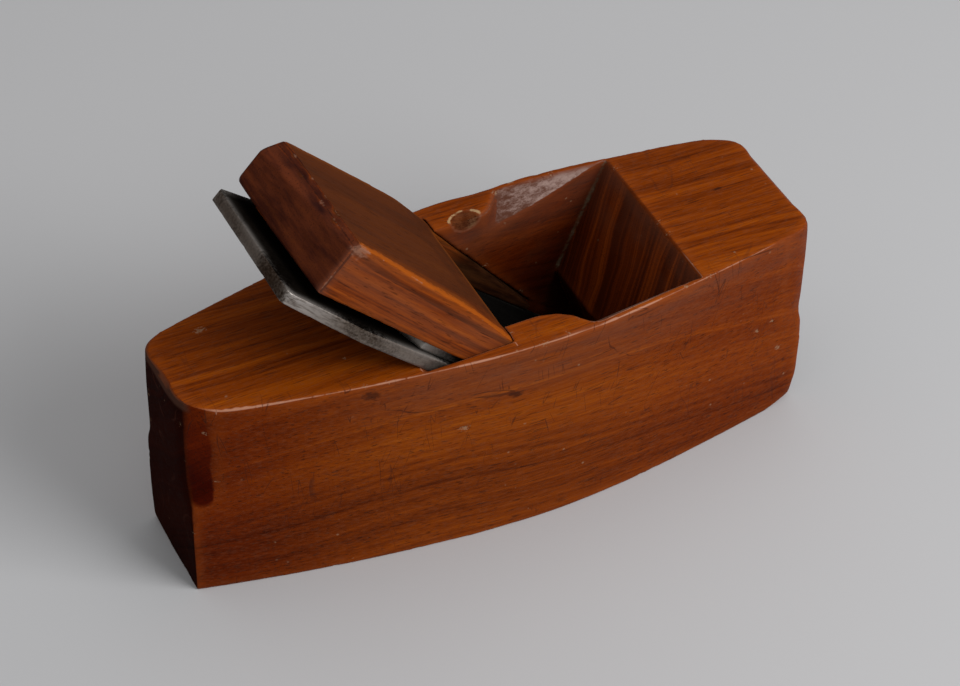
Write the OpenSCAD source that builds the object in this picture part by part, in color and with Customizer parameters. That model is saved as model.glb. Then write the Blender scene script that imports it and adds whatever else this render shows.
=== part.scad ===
// Coffin smoothing plane: a boat-shaped wooden stock with a double iron held by a wooden wedge.
// Frame: the origin is the middle of the sole, +X points to the toe and +Z is up, in millimetres.

/* [Stock] */
// Length of the stock from heel to toe
stock_length = 203; // [190:1:225]
// Greatest width of the stock, across the belly
stock_width = 69.6; // [68:0.2:80]
// Height of the stock from sole to top
stock_height = 73.5; // [68:0.5:80]
// Distance of the widest place in front of the middle
belly_x = 12.5; // [5:0.5:20]
// Radius of each side at the belly
belly_radius = 250; // [200:5:400]
// Reach of the belly's curve before and behind the widest place
belly_reach = 29.5; // [20:0.5:36]
// Radius of each side from the belly to the toe
toe_side_radius = 900; // [500:20:2000]
// Radius of each side from the belly to the heel
heel_side_radius = 600; // [400:20:2000]
// Width of the stopped chamfers on the heel's upright corners, across the heel's end
heel_chamfer = 6.2; // [3:0.2:9]
// Width of the same chamfers along the sides
heel_chamfer_side = 6.2; // [3:0.2:9]
// Width of the stopped chamfers on the toe's upright corners, across the toe's end
toe_chamfer = 3.6; // [2.4:0.2:7]
// Width of the same chamfers along the sides
toe_chamfer_side = 6.8; // [3:0.2:9]
// Height above the sole at which these chamfers have run out
chamfer_stop_z = 33.5; // [20:0.5:45]
// Radius of the gouge cut that ends each chamfer
chamfer_stop_radius = 12; // [8:0.5:30]
// Width of the chamfer along the top edge of heel and toe
end_chamfer = 1.6; // [0.5:0.1:4]

/* [Mortise] */
// Pitch of the bed above the sole, in degrees
bed_pitch = 43.5; // [42:0.5:47]
// Place of the bed's top edge along the stock
bed_top_x = -33; // [-37:0.5:-30]
// Thickness of each cheek, the wall beside the mortise, at the belly
cheek_thickness = 4.9; // [4.6:0.1:7]
// Angle between the abutments and the face of the irons, in degrees
wedge_angle = 9.5; // [8:0.25:10.5]
// Room for the wedge between cap iron and abutments, along the top of the stock
wedge_room = 17.6; // [15:0.2:19]
// Distance that each abutment stands out from its wall at the top
abutment_depth = 7; // [5.5:0.25:8]
// Length of the flat land on each abutment at the top of the stock
abutment_land = 12; // [9:0.5:15]
// Height of the line where the breast meets the wear
wear_height = 33.8; // [28:0.2:38]
// Distance of that line behind the mouth's front edge
wear_run = 10.5; // [8:0.1:13]
// Distance of the throat's front edge in front of that line
breast_run = 16.3; // [14:0.1:20]
// Opening of the mouth in front of the cutting edge
mouth_gap = 1.3; // [0.6:0.1:2.5]
// Thickness left at the top of the cheeks beside the throat
cheek_edge = 1.3; // [0.8:0.1:2]
// Slope of the eyes, the facets cut down from the cheeks, in degrees
eye_slope = 47; // [38:1:54]
// Radius of the rounded shoulder behind each eye
eye_shoulder_radius = 14; // [10:0.5:18]

/* [Cutting iron] */
// Play between the cutting iron and each wall of the mortise
mortise_play = 1.3; // [0.6:0.1:1.8]
// Length of the cutting iron along its face
iron_length = 169; // [160:1:185]
// Thickness of the cutting iron at its lower end
iron_thickness = 5.4; // [4.8:0.1:6]
// Thickness of the cutting iron at its top end
iron_top_thickness = 4; // [3.2:0.1:4.6]
// Angle of the ground bevel, in degrees
bevel_angle = 27; // [23:1:33]
// Height of the cutting edge above the sole at rest
edge_retreat = 0.3; // [0.1:0.1:1]
// Distance by which each edge of the cutting iron draws in towards its top end
iron_narrowing = 4.35; // [2:0.05:6]
// Length over which the iron narrows to its top end
iron_shoulder = 30; // [20:1:36]
// Size of the small clipped corners at the iron's top end
iron_corner = 1; // [0.5:0.5:4]
// Width of the long slot in the cutting iron
slot_width = 13.4; // [13.2:0.2:16]
// Distance of the slot's upper end from the cutting edge
slot_top = 130; // [122:1:136]
// Diameter of the keyhole at the slot's lower end
keyhole_diameter = 24; // [22:0.5:28]
// Distance of the keyhole's centre from the cutting edge
keyhole_place = 48; // [42:1:54]

/* [Cap iron] */
// Distance of the cap iron's edges inside those of the cutting iron
cap_inset = 1.6; // [0.6:0.1:3]
// Length of the cap iron
cap_length = 122; // [112:1:130]
// Thickness of the cap iron
cap_thickness = 3; // [2.6:0.1:3.6]
// Distance of the cap iron's lip behind the cutting edge
cap_setback = 1.5; // [1.2:0.1:3]
// Outer radius of the bend behind the lip
bend_radius = 16; // [13:0.5:19]
// Height of the hollow under the bend
bend_hollow = 1.8; // [1.2:0.1:2.2]
// Size of the clipped corners at the cap iron's top end
cap_corner = 7; // [3:0.5:12]

/* [Cap screw and nut] */
// Distance of the screw's axis from the cutting edge
screw_place = 86; // [82:1:96]
// Diameter of the screw's thread
screw_diameter = 7.9; // [6:0.1:8.4]
// Diameter of the screw's head
head_diameter = 21; // [18:0.5:21.5]
// Thickness of the screw's head
head_thickness = 3.6; // [3:0.1:4.5]
// Height of the head's dome
head_dome = 0.3; // [0.1:0.1:0.6]
// Size of the rounded-off edge of the head
head_edge = 1.5; // [0.6:0.1:2]
// Size of the chamfer on the end of the shank
shank_chamfer = 0.6; // [0.3:0.1:0.9]
// Distance of the shank's end below the top of the cap iron
shank_recess = 0.3; // [0.1:0.1:0.8]
// Width of the driver slot in the head
driver_slot = 1.8; // [1.2:0.1:2.4]
// Depth of the driver slot in the head
driver_depth = 1.6; // [1:0.1:2]
// Diameter of the nut's barrel, riveted through the cap iron
nut_barrel = 10.6; // [10:0.1:11.4]
// Play between the nut's collar and each side of the slot
collar_play = 0.3; // [0.2:0.05:0.6]
// Height of the nut's collar behind the cap iron
nut_collar_height = 3.2; // [2.4:0.1:3.6]
// Size of the chamfer round the collar
collar_chamfer = 0.4; // [0.2:0.1:0.6]

/* [Wedge] */
// Length of the wedge's seat above the top of the stock
wedge_rise = 57; // [48:1:66]
// Thickness of the tines at their tips
tine_tip = 2.2; // [1.6:0.1:4]
// Distance above the top of the stock at which the wedge's back turns
wedge_turn = 12; // [6:0.5:18]
// Radius of the turn in the wedge's back
wedge_turn_radius = 110; // [70:5:180]
// Angle at which the back still rises from the seat above that turn, in degrees
back_slope = 3.7; // [0:0.1:5]
// Distance by which each edge of the wedge draws in towards its top end
wedge_narrowing = 4.6; // [2:0.1:6]
// Chamfer along the back edge of the wedge's top end
wedge_end_chamfer = 1.5; // [0.5:0.1:3]
// Width of each tine at the upper end of the cut-out
tine_width = 7.3; // [6.6:0.1:9]
// Width that each tine loses towards its tip
tine_taper = 2.4; // [0.4:0.2:4]

/* [Clearances] */
// Clearance between faces that slide on each other
slide_clearance = 0.12; // [0.08:0.01:0.2]
// Clearance between the wedge and each wall of the mortise
wedge_side_clearance = 0.3; // [0.2:0.05:0.5]
// Clearance round the screw's head in the groove of the bed
groove_clearance = 1.4; // [1:0.1:2.4]
// Distance that the irons can be set forward from rest
forward_travel = 0.5; // [0.3:0.1:0.7]
// Radial clearance of the screw in its nut
thread_clearance = 0.06; // [0.03:0.01:0.1]
// Radial clearance of the nut's barrel in the cap iron
rivet_clearance = 0.02; // [0.01:0.01:0.05]

/* [Hidden] */
$fn = 96;
past = 20;
past_sole = 4;
shoulder_bite = 0.3;

half_length = stock_length / 2;
half_width = stock_width / 2;
mortise_half = half_width - cheek_thickness;
iron_width = 2 * (mortise_half - mortise_play);
cap_width = iron_width - 2 * cap_inset;
wedge_half = mortise_half - wedge_side_clearance;
tine_y = wedge_half - tine_width;

// The sides: where the belly's arc ends, and the centres of the three arcs
side_turn = asin(belly_reach / belly_radius);
belly_y = half_width - belly_radius;
toe_centre = [belly_x + (belly_radius - toe_side_radius) * sin(side_turn),
              belly_y + (belly_radius - toe_side_radius) * cos(side_turn)];
heel_centre = [belly_x - (belly_radius - heel_side_radius) * sin(side_turn),
               belly_y + (belly_radius - heel_side_radius) * cos(side_turn)];

// Half the width of the stock at a place along it
function arc_y(x, centre, radius) = centre[1] + sqrt(radius * radius - pow(x - centre[0], 2));
function side_y(x) =
    x > belly_x + belly_reach ? arc_y(x, toe_centre, toe_side_radius) :
    x < belly_x - belly_reach ? arc_y(x, heel_centre, heel_side_radius) :
    arc_y(x, [belly_x, belly_y], belly_radius);

// The bed, and the cutting edge that lies on it: the iron tapers, so its face is a little flatter
bed_foot_x = bed_top_x + stock_height / tan(bed_pitch);
iron_taper = atan((iron_thickness - iron_top_thickness) / iron_length);
face_pitch = bed_pitch - iron_taper;
edge_stand = iron_thickness * cos(iron_taper) + slide_clearance;
edge_s = (edge_retreat - edge_stand * cos(bed_pitch)) / sin(bed_pitch);
edge_x = bed_foot_x - edge_s * cos(bed_pitch) + edge_stand * sin(bed_pitch);

// The seat of the wedge on the cap iron, and the abutments, which close on it towards the mouth
seat_stand = cap_thickness + 2 * slide_clearance;
seat_x = edge_x + seat_stand * sin(face_pitch);
seat_z = edge_retreat + seat_stand * cos(face_pitch);
seat_top_x = seat_x - (stock_height - seat_z) / tan(face_pitch);
abutment_pitch = face_pitch + wedge_angle;
abutment_top_x = seat_top_x + wedge_room;
abutment_run = 1 / tan(abutment_pitch);
apex_drop = wedge_room / (1 / tan(face_pitch) - abutment_run);
apex_x = abutment_top_x + apex_drop * abutment_run;
apex_z = stock_height - apex_drop;

// The foot of the abutments, above which the bend of the cap iron passes under them
foot_s = bend_hollow / tan(wedge_angle);
foot_x = apex_x - foot_s * cos(face_pitch) + bend_hollow * sin(face_pitch);
foot_z = apex_z + foot_s * sin(face_pitch) + bend_hollow * cos(face_pitch);

// The throat: its front wall is the breast above and the wear below
mouth_front_x = edge_x + mouth_gap;
wear_top_x = mouth_front_x - wear_run;
throat_front_x = wear_top_x + breast_run;
breast_lean = breast_run / (stock_height - wear_height);
wear_lean = wear_run / wear_height;
land_end_x = abutment_top_x + abutment_land;
land_y = mortise_half - abutment_depth;
flare_turn = atan(abutment_depth / (throat_front_x - land_end_x));
flare_lean = atan(sin(flare_turn) * breast_lean);
eye_rear_y = side_y(land_end_x + eye_shoulder_radius) - cheek_edge;
eye_front_y = side_y(throat_front_x) - cheek_edge;

// The screw's head behind the iron, and the wedge's length along its seat
head_top = -iron_thickness + (screw_place - head_diameter / 2) * tan(iron_taper) - slide_clearance;
groove_depth = head_thickness + head_diameter * tan(iron_taper) + groove_clearance;
groove_foot = edge_s + screw_place - forward_travel;
tip_s = tine_tip / tan(wedge_angle) + slide_clearance / sin(wedge_angle);
nut_collar = slot_width - 2 * collar_play;
back_length = apex_drop / sin(abutment_pitch);
cut_s = back_length * cos(wedge_angle);
top_s = apex_drop / sin(face_pitch);
end_s = top_s + wedge_rise;
tine_taper_angle = atan(tine_taper / (cut_s - tip_s));

// Stands a drawn side view upright along the stock and spreads it equally to both sides
module across(width) {
    rotate([90, 0, 0])
        linear_extrude(width, center = true)
            children();
}

// Puts a piece on the bed: local -X runs up the bed from its foot and local +Z stands out of it
module on_bed() {
    translate([bed_foot_x, 0, 0])
        rotate([0, bed_pitch, 0])
            children();
}

// Puts a piece on the face of the cutting iron, with -X running up from the cutting edge
module on_face() {
    translate([edge_x, 0, edge_retreat])
        rotate([0, face_pitch, 0])
            children();
}

// Puts a piece on the wedge's seat, with -X running up from the place where the wedge would end
module on_seat() {
    translate([apex_x, 0, apex_z])
        rotate([0, face_pitch, 0])
            children();
}

// The same piece on the far side and on the near side of the middle
module both_sides() {
    children();
    mirror([0, 1, 0])
        children();
}

// One stretch of the plan, bounded by the same arc on each side
module plan_stretch(x_from, x_to, centre, radius) {
    intersection() {
        translate([x_from, -stock_width])
            square([x_to - x_from, 2 * stock_width]);
        translate(centre)
            circle(r = radius, $fn = 720);
        translate([centre[0], -centre[1]])
            circle(r = radius, $fn = 720);
    }
}

// The block in plan: a round belly that runs into flatter arcs to toe and heel
module block() {
    linear_extrude(stock_height) {
        plan_stretch(-half_length, belly_x - belly_reach, heel_centre, heel_side_radius);
        plan_stretch(belly_x - belly_reach, belly_x + belly_reach, [belly_x, belly_y], belly_radius);
        plan_stretch(belly_x + belly_reach, half_length, toe_centre, toe_side_radius);
    }
}

// What the chisel and gouge take off one upright corner: a flat chamfer that ends in a hollow
module corner_cut(end_width, side_width, x_sign) {
    depth = end_width * side_width / norm([end_width, side_width]);
    turn = atan(side_width / end_width);
    flat_z = chamfer_stop_z + sqrt(2 * chamfer_stop_radius * depth - depth * depth);
    translate([x_sign * half_length, side_y(x_sign * half_length), 0])
        rotate([0, 0, x_sign > 0 ? turn : 180 - turn])
            across(2 * past)
                union() {
                    translate([-depth, flat_z])
                        square([past, stock_height]);
                    translate([chamfer_stop_radius - depth, flat_z])
                        circle(r = chamfer_stop_radius);
                }
}

// The chamfer along the top edge of one end
module end_cut(x_sign) {
    translate([x_sign * (half_length - end_chamfer), 0, stock_height])
        rotate([0, x_sign * 45, 0])
            translate([-past, -stock_width, 0])
                cube([2 * past, 2 * stock_width, past]);
}

// Side view of the opening from the top to the mouth, before the abutments are left in it
module throat_view() {
    polygon([
        [bed_foot_x - (stock_height + past) / tan(bed_pitch), stock_height + past],
        [throat_front_x + past * breast_lean, stock_height + past],
        [wear_top_x, wear_height],
        [mouth_front_x + past_sole * wear_lean, -past_sole],
        [bed_foot_x + past_sole / tan(bed_pitch), -past_sole]
    ]);
}

// Side view of all that lies in front of the abutments' bearing faces and clear of the cap iron
module abutment_view() {
    polygon([
        [abutment_top_x - past * abutment_run, stock_height + past],
        [stock_length, stock_height + past],
        [stock_length, -past_sole],
        [foot_x + (foot_z + past_sole) / tan(face_pitch), -past_sole],
        [foot_x, foot_z]
    ]);
}

// One abutment: the land at the top, then a flare that leans and turns out to the mortise's wall
module abutment() {
    intersection() {
        across(2 * stock_width)
            abutment_view();
        translate([-half_length, land_y, -past_sole])
            cube([stock_length, stock_width, stock_height + 2 * past]);
        translate([land_end_x, land_y, stock_height])
            rotate([flare_lean, 0, flare_turn])
                translate([-stock_length, 0, -2 * stock_height])
                    cube([2 * stock_length, stock_width, 4 * stock_height]);
    }
}

// One eye: a facet from the cheek's thin top edge down to the flare, behind a rounded shoulder
module eye_cut() {
    eye_length = throat_front_x - land_end_x - eye_shoulder_radius;
    intersection() {
        translate([land_end_x + eye_shoulder_radius, eye_rear_y, stock_height])
            rotate([0, 0, atan((eye_front_y - eye_rear_y) / eye_length)])
                rotate([eye_slope, 0, 0])
                    translate([-stock_length, -stock_width, 0])
                        cube([2 * stock_length, stock_width, stock_height]);
        across(2 * stock_width)
            throat_view();
        difference() {
            translate([land_end_x, 0, 0])
                cube([half_length, half_width, stock_height + past / 2]);
            translate([land_end_x, land_y + eye_shoulder_radius - shoulder_bite, -1])
                cylinder(r = eye_shoulder_radius, h = stock_height + past);
        }
    }
}

// The round-ended groove in the bed that clears the head of the cap screw
module groove_cut() {
    groove_radius = head_diameter / 2 + groove_clearance;
    on_bed()
        translate([0, 0, -groove_depth]) {
            translate([-groove_foot, 0, 0])
                cylinder(r = groove_radius, h = groove_depth + 1);
            translate([-groove_foot - stock_length, -groove_radius, 0])
                cube([stock_length, 2 * groove_radius, groove_depth + 1]);
        }
}

// The stock, made from one block
module stock() {
    color([0.47, 0.22, 0.08])
        difference() {
            block();
            difference() {
                across(2 * mortise_half)
                    throat_view();
                both_sides()
                    abutment();
            }
            both_sides()
                eye_cut();
            groove_cut();
            both_sides() {
                corner_cut(heel_chamfer, heel_chamfer_side, -1);
                corner_cut(toe_chamfer, toe_chamfer_side, 1);
            }
            end_cut(-1);
            end_cut(1);
        }
}

// Side view of the cutting iron: flat face, tapered back and ground bevel
module iron_view() {
    bevel_run = iron_thickness / tan(bevel_angle);
    polygon([
        [0, 0],
        [-iron_length, 0],
        [-iron_length, -iron_top_thickness],
        [-bevel_run, -iron_thickness + bevel_run * tan(iron_taper)]
    ]);
}

// Outline of a blade seen square to its face, with the corners of its top end cut off
module blade_outline(low, high, width, corner_length, corner_width) {
    polygon([
        [-low, -width / 2],
        [-low, width / 2],
        [-high + corner_length, width / 2],
        [-high, width / 2 - corner_width],
        [-high, -width / 2 + corner_width],
        [-high + corner_length, -width / 2]
    ]);
}

// The cutting iron, narrowed to its top end and slotted for the cap screw
module cutting_iron() {
    top_width = iron_width - 2 * iron_narrowing;
    color([0.33, 0.31, 0.30])
        on_face()
            difference() {
                intersection() {
                    across(iron_width + 1)
                        iron_view();
                    translate([0, 0, -past])
                        linear_extrude(2 * past)
                            intersection() {
                                blade_outline(-1, iron_length, iron_width, iron_shoulder, iron_narrowing);
                                blade_outline(-1, iron_length, top_width + 2 * iron_shoulder,
                                              iron_corner + iron_shoulder, iron_corner + iron_shoulder);
                            }
                }
                translate([-keyhole_place, 0, -past])
                    cylinder(d = keyhole_diameter, h = 2 * past);
                translate([-slot_top + slot_width / 2, 0, -past])
                    cylinder(d = slot_width, h = 2 * past);
                translate([-slot_top + slot_width / 2, -slot_width / 2, -past])
                    cube([slot_top - slot_width / 2 - keyhole_place, slot_width, 2 * past]);
            }
}

// Side view of the cap iron: a flat plate that rises into a bend and comes down to the lip
module cap_view() {
    inner_radius = bend_radius - cap_thickness;
    centre_drop = inner_radius - bend_hollow;
    lip_run = sqrt(bend_radius * bend_radius - centre_drop * centre_drop);
    difference() {
        union() {
            translate([-cap_setback - cap_length, 0])
                square([cap_length - lip_run, cap_thickness]);
            intersection() {
                translate([-cap_setback - lip_run, -centre_drop])
                    circle(r = bend_radius);
                translate([-cap_setback - 2 * lip_run, 0])
                    square([2 * lip_run, bend_radius]);
            }
        }
        translate([-cap_setback - lip_run, -centre_drop])
            circle(r = inner_radius);
    }
}

// The cap iron, bored for its nut
module cap_iron() {
    color([0.56, 0.54, 0.52])
        on_face()
            translate([0, 0, slide_clearance])
                difference() {
                    intersection() {
                        across(cap_width + 1)
                            cap_view();
                        translate([0, 0, -past])
                            linear_extrude(2 * past)
                                blade_outline(0, cap_setback + cap_length, cap_width,
                                              cap_corner, cap_corner);
                    }
                    translate([-screw_place, 0, -past])
                        cylinder(d = nut_barrel + 2 * rivet_clearance, h = 2 * past);
                }
}

// The brass nut: a barrel riveted flush through the cap iron, on a collar that rides in the slot
module cap_nut() {
    color([0.72, 0.56, 0.28])
        on_face()
            translate([-screw_place, 0, slide_clearance])
                rotate_extrude()
                    polygon([
                        [screw_diameter / 2 + thread_clearance, -nut_collar_height],
                        [nut_collar / 2 - collar_chamfer, -nut_collar_height],
                        [nut_collar / 2, -nut_collar_height + collar_chamfer],
                        [nut_collar / 2, 0],
                        [nut_barrel / 2, 0],
                        [nut_barrel / 2, cap_thickness],
                        [screw_diameter / 2 + thread_clearance, cap_thickness]
                    ]);
}

// The cap screw: a broad, slightly domed head behind the cutting iron and a short shank
module cap_screw() {
    shank_top = slide_clearance + cap_thickness - shank_recess;
    color([0.40, 0.37, 0.34])
        on_face()
            translate([-screw_place, 0, 0])
                difference() {
                    rotate_extrude()
                        polygon([
                            [0, head_top - head_thickness],
                            [head_diameter / 2 - head_edge, head_top - head_thickness + head_dome],
                            [head_diameter / 2, head_top - head_thickness + head_dome + head_edge],
                            [head_diameter / 2, head_top],
                            [screw_diameter / 2, head_top],
                            [screw_diameter / 2, shank_top - shank_chamfer],
                            [screw_diameter / 2 - shank_chamfer, shank_top],
                            [0, shank_top]
                        ]);
                    translate([-head_diameter, -driver_slot / 2, head_top - head_thickness - 1])
                        cube([2 * head_diameter, driver_slot, driver_depth + 1]);
                }
}

// Side view of the wedge: straight under the abutments, then a turned back and a square end
module wedge_view() {
    lower = slide_clearance / cos(wedge_angle);
    turn_s = (back_length + wedge_turn) * cos(wedge_angle);
    turn_n = (back_length + wedge_turn) * sin(wedge_angle) - lower;
    steps = 8;
    straight_s = turn_s + wedge_turn_radius * (sin(wedge_angle) - sin(back_slope));
    straight_n = turn_n + wedge_turn_radius * (cos(back_slope) - cos(wedge_angle));
    back_n = straight_n + (end_s - straight_s) * tan(back_slope);
    polygon(concat(
        [
            [-end_s, 0],
            [-tip_s, 0],
            [-tip_s, tip_s * tan(wedge_angle) - lower]
        ],
        [for (i = [0 : steps])
            let (turned = (wedge_angle - back_slope) * i / steps)
            [-turn_s - wedge_turn_radius * (sin(wedge_angle) - sin(wedge_angle - turned)),
             turn_n + wedge_turn_radius * (cos(wedge_angle - turned) - cos(wedge_angle))]
        ],
        [
            [-end_s + wedge_end_chamfer, back_n - wedge_end_chamfer * tan(back_slope)],
            [-end_s, back_n - wedge_end_chamfer]
        ]
    ));
}

// The wedge, cut out below into two tines that leave the shavings their way up
module wedge() {
    gap_growth = past * tan(tine_taper_angle);
    color([0.50, 0.20, 0.09])
        on_seat()
            difference() {
                intersection() {
                    across(2 * wedge_half + 1)
                        wedge_view();
                    linear_extrude(2 * past)
                        blade_outline(0, end_s, 2 * wedge_half,
                                      wedge_rise, wedge_narrowing);
                }
                translate([0, 0, -1])
                    linear_extrude(2 * past)
                        polygon([
                            [-cut_s, -tine_y],
                            [-cut_s, tine_y],
                            [-tip_s, tine_y + tine_taper],
                            [-tip_s + past, tine_y + tine_taper + gap_growth],
                            [-tip_s + past, -tine_y - tine_taper - gap_growth],
                            [-tip_s, -tine_y - tine_taper]
                        ]);
            }
}

stock();
cutting_iron();
cap_iron();
cap_nut();
cap_screw();
wedge();
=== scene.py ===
import math

import bmesh
import bpy
import numpy as np
from mathutils import Matrix, Vector, noise
from mathutils.bvhtree import BVHTree
from mathutils.kdtree import KDTree


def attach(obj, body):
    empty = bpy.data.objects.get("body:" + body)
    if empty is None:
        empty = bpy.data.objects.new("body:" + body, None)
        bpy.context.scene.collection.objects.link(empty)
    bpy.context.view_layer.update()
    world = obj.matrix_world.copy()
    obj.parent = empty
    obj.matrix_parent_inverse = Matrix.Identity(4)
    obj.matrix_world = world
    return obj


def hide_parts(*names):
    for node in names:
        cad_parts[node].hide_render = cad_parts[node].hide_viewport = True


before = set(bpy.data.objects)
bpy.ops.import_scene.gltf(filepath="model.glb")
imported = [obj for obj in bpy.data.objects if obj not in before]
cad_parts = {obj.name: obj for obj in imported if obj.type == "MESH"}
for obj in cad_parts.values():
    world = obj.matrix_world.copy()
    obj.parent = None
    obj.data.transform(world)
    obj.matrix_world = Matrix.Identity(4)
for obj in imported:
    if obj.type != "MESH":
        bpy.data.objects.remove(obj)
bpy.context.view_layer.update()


# The stock is one block of close-grained brown hardwood, with its growth rings on the slant.
# The bed, mortise, abutments, eyes and mouth are chopped and sawn out of it. Years of hands have
# rubbed its arrises round and dented its sides. Its ends are dark end grain under painted shade.

STOCK_TOP = 0.0735
HEEL_X, TOE_X = -0.1015, 0.1015
STOCK_NET, STOCK_RUB = 0.0007, 0.0008  # the cells of its net, and the radius of a rubbed arris
FAR_HEEL_OUT, NEAR_TOE_OUT = 0.0029, 0.0019  # how much slighter two of the four chamfers are
DIAGONAL = 0.7071
SHARP = math.radians(16)  # a drawn edge that bends more than this is an arris
ARRIS_STEP, CORNER_REACH = 0.2, 1.5  # in cells: between places on an arris, and about an inner corner
UNEVEN, PATCHES = 0.5, 70  # how unevenly hands have rubbed, and how many patches to a metre


def skin_of(node, name, grain, rub, turned=0.0):
    """The surface of a drawn piece as an even net of small faces, with points all along its arrises.

    Also gives each point's way inwards where hands have rubbed an arris round, and how much it was
    rubbed: 1 on a sharp arris, -1 in an inner corner.
    """
    drawn = bmesh.new()
    drawn.from_mesh(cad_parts[node].data)
    bmesh.ops.remove_doubles(drawn, verts=drawn.verts, dist=1e-6)
    bmesh.ops.rotate(drawn, verts=drawn.verts, matrix=Matrix.Rotation(-turned, 3, "Y"))
    drawn.normal_update()
    rows = []
    for edge in drawn.edges:
        if len(edge.link_faces) == 2 and edge.calc_face_angle(0) > SHARP:
            start, end = (corner.co for corner in edge.verts)
            out = (edge.link_faces[0].normal + edge.link_faces[1].normal).normalized()
            half = edge.calc_face_angle_signed(0) / 2
            steps = max(1, math.ceil((end - start).length / (grain * ARRIS_STEP)))
            for step in range(steps + 1):
                place = start.lerp(end, step / steps)
                radius = rub * 1.4 * math.cos(half) * (1 + UNEVEN * noise.noise(place * PATCHES))
                rows.append((*place, *(end - start).normalized(), *out, half, radius))
    place, along, out, half, radius = np.split(np.array(rows), (3, 6, 9, 10), 1)
    faces = BVHTree.FromBMesh(drawn)
    made = bpy.data.objects.new(name, bpy.data.meshes.new(name))
    drawn.to_mesh(made.data)
    drawn.free()
    bpy.context.scene.collection.objects.link(made)
    net = made.modifiers.new("net", "REMESH")
    net.mode = "VOXEL"
    net.voxel_size = grain
    settled = made.evaluated_get(bpy.context.evaluated_depsgraph_get())
    mesh = bpy.data.meshes.new_from_object(settled)
    made.modifiers.clear()
    made.data = mesh
    mesh.name = name
    mesh.materials.clear()

    # Where an arris runs through a cell of the net, the cell's point moves onto it. All other
    # points settle on the nearest face.
    points = listed(mesh.vertices, "co", 3)
    crossed = {}
    for row, cell in enumerate(map(tuple, np.floor(place / grain).astype(int))):
        crossed.setdefault(cell, []).append(row)
    for index, cell in enumerate(map(tuple, np.floor(points / grain).astype(int))):
        through = crossed.pop(cell, None)
        points[index] = place[through].mean(0) if through else faces.find_nearest(points[index])[0]

    # The rubbing: each arris becomes part of a thin round
    arrises = KDTree(len(place))
    for row, spot in enumerate(place):
        arrises.insert(spot, row)
    arrises.balance()
    nearest = [arrises.find(point)[1] for point in points]
    place, along, out, half, radius = (part[nearest] for part in (place, along, out, half, radius))
    away = points - place
    away -= along * (away * along).sum(1, keepdims=True)
    gap = np.linalg.norm(away, axis=1, keepdims=True)
    centre = -out * radius / np.cos(half)
    spoke = away - centre
    length = np.linalg.norm(spoke, axis=1, keepdims=True)
    lean = np.arccos(np.clip((spoke * out).sum(1, keepdims=True) / length, -1, 1)) / np.abs(half)
    rubbed = (half > 0) & (lean < 1) & (gap < radius * np.tan(np.abs(half)) + 1e-5)
    inwards = np.where(rubbed, centre + spoke * radius / length - away, 0)
    cornered = np.clip(1 - gap / (grain * CORNER_REACH), 0, 1)
    lost = np.where(rubbed, 1 - lean, 0) - np.where(half < 0, cornered, 0)

    back = np.array(Matrix.Rotation(turned, 3, "Y")).T
    reshape(mesh, points @ back)
    return made, inwards @ back, lost.ravel()


def listed(items, word, width, kind=np.float32):
    """One property of all the points or edges of a mesh, as rows of numbers."""
    flat = np.empty(len(items) * width, kind)
    items.foreach_get(word, flat)
    return flat.reshape(-1, width).astype(float if kind == np.float32 else kind)


def evened(values, ends, passes, share=1.0):
    """Moves each row towards the mean of its neighbours on the net, a few times over."""
    first, second = ends[:, 0], ends[:, 1]
    size = len(values)
    count = np.maximum(np.bincount(ends.ravel(), minlength=size), 1)
    values = values.copy()
    for _ in range(passes):
        for column in values.T:
            mean = (np.bincount(first, column[second], size)
                    + np.bincount(second, column[first], size)) / count
            column += (mean - column) * share
    return values


def reshape(mesh, points):
    """Puts the points of a mesh in new places."""
    mesh.vertices.foreach_set("co", points.astype(np.float32).ravel())
    mesh.update()


def note(mesh, name, values):
    """Keeps one number for each point, for the finish to read."""
    kept = mesh.attributes.new(name, "FLOAT", "POINT")
    kept.data.foreach_set("value", np.clip(values, 0, 1).astype(np.float32))


def spread(values, ends, passes):
    """One number for each point, spread softly over the net."""
    return evened(values[:, None], ends, passes).ravel()


def near(points, centre, radii):
    """A soft round mask about a place: 1 at its middle and 0 far off."""
    return np.exp(-(((points - np.array(centre)) / np.array(radii)) ** 2).sum(1))


def grows(value, start, width):
    """0 up to a place and 1 beyond it, with a straight rise of some width between."""
    return np.clip((value - start) / width, 0, 1)


def thinned(made, busy, ratio, quiet=0.70):
    """Takes needless points out of the quiet share of a piece, which is its flats."""
    group = made.vertex_groups.new(name="kept")
    group.add(np.flatnonzero(busy > np.quantile(busy, quiet)).tolist(), 1.0, "REPLACE")
    cut = made.modifiers.new("cut", "DECIMATE")
    cut.ratio = ratio
    cut.vertex_group = group.name
    cut.invert_vertex_group = True
    settled = made.evaluated_get(bpy.context.evaluated_depsgraph_get())
    mesh = bpy.data.meshes.new_from_object(settled)
    made.modifiers.clear()
    made.vertex_groups.clear()
    made.data = mesh


stock, inwards, lost = skin_of("stock", "stock_block", STOCK_NET, STOCK_RUB)
raw = listed(stock.data.vertices, "co", 3)
ends = listed(stock.data.edges, "vertices", 2, np.int32)
wall = listed(stock.data.vertices, "normal", 3)[:, 2] < 0.8
x, y, z = raw.T
shaped = raw.copy()

# How far the upright corners have been handled round: the near heel one most, and all more at the top
handled = np.where(x > 0, 0.13, np.where(y < 0, 0.5, 0.1))
worn_corner = grows(np.abs(x), 0.083, 0.005) * grows(np.abs(y), np.where(x > 0, 0.0125, 0.003), 0.004)
worn_corner *= grows(z, 0.026, 0.012) * handled
worn_corner = np.clip(worn_corner * (1 + grows(z, 0.060, 0.012) * np.where(y < 0, 1, 3)), 0, 1)

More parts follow.
